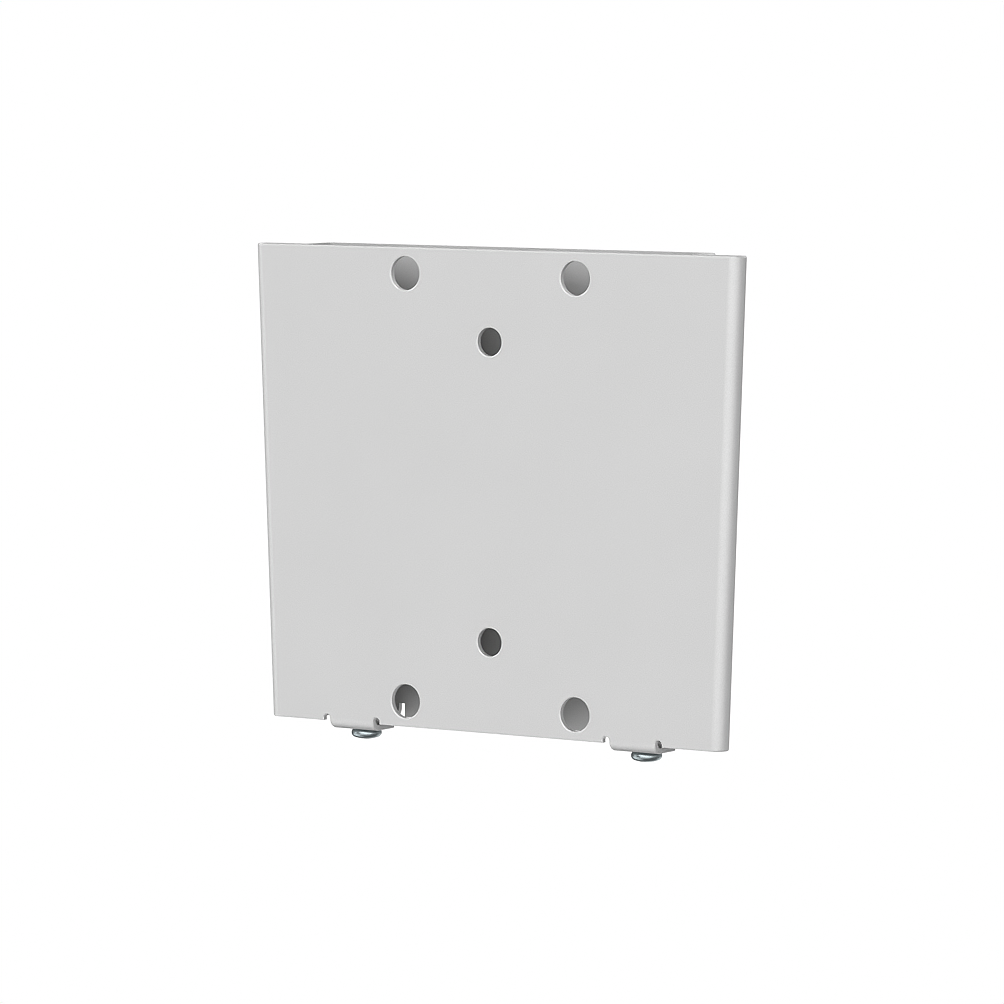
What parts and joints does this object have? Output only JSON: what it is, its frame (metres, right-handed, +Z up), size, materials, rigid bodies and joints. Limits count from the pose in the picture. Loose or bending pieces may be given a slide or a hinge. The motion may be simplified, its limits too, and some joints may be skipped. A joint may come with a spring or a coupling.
{
  "type": "fixed monitor wall mount",
  "caption": "Flat wall mount for a monitor: a wall plate with leaning folded rails takes a hat-section monitor plate that drops in from above and is locked by screws under its edge.",
  "frame": {"origin": "centre of the wall plate's wall face, at half its height", "axes": "+Z up, +Y from the wall towards the monitor, X across the plate"},
  "size_m": [0.15, 0.0141, 0.1301],
  "materials": {
    "powder_coat": "silver-grey powder coat with a fine grain",
    "zinc": "bright blue zinc plating"
  },
  "bodies": {
    "wall_side": {"wall_plate": "powder_coat"},
    "monitor_side": {"monitor_plate": "powder_coat"},
    "left_screw": {"lock_screw_left": "zinc"},
    "right_screw": {"lock_screw_right": "zinc"}
  },
  "joints": [
    {"name": "monitor_lift", "type": "slide", "parent": "wall_side", "child": "monitor_side", "axis": [0, 0, 1], "range_m": [0, 0.13]},
    {"name": "left_screw_out", "type": "slide", "parent": "wall_side", "child": "left_screw", "axis": [0, 0, -1], "range_m": [0, 0.009]},
    {"name": "right_screw_out", "type": "slide", "parent": "wall_side", "child": "right_screw", "axis": [0, 0, -1], "range_m": [0, 0.009]}
  ]
}
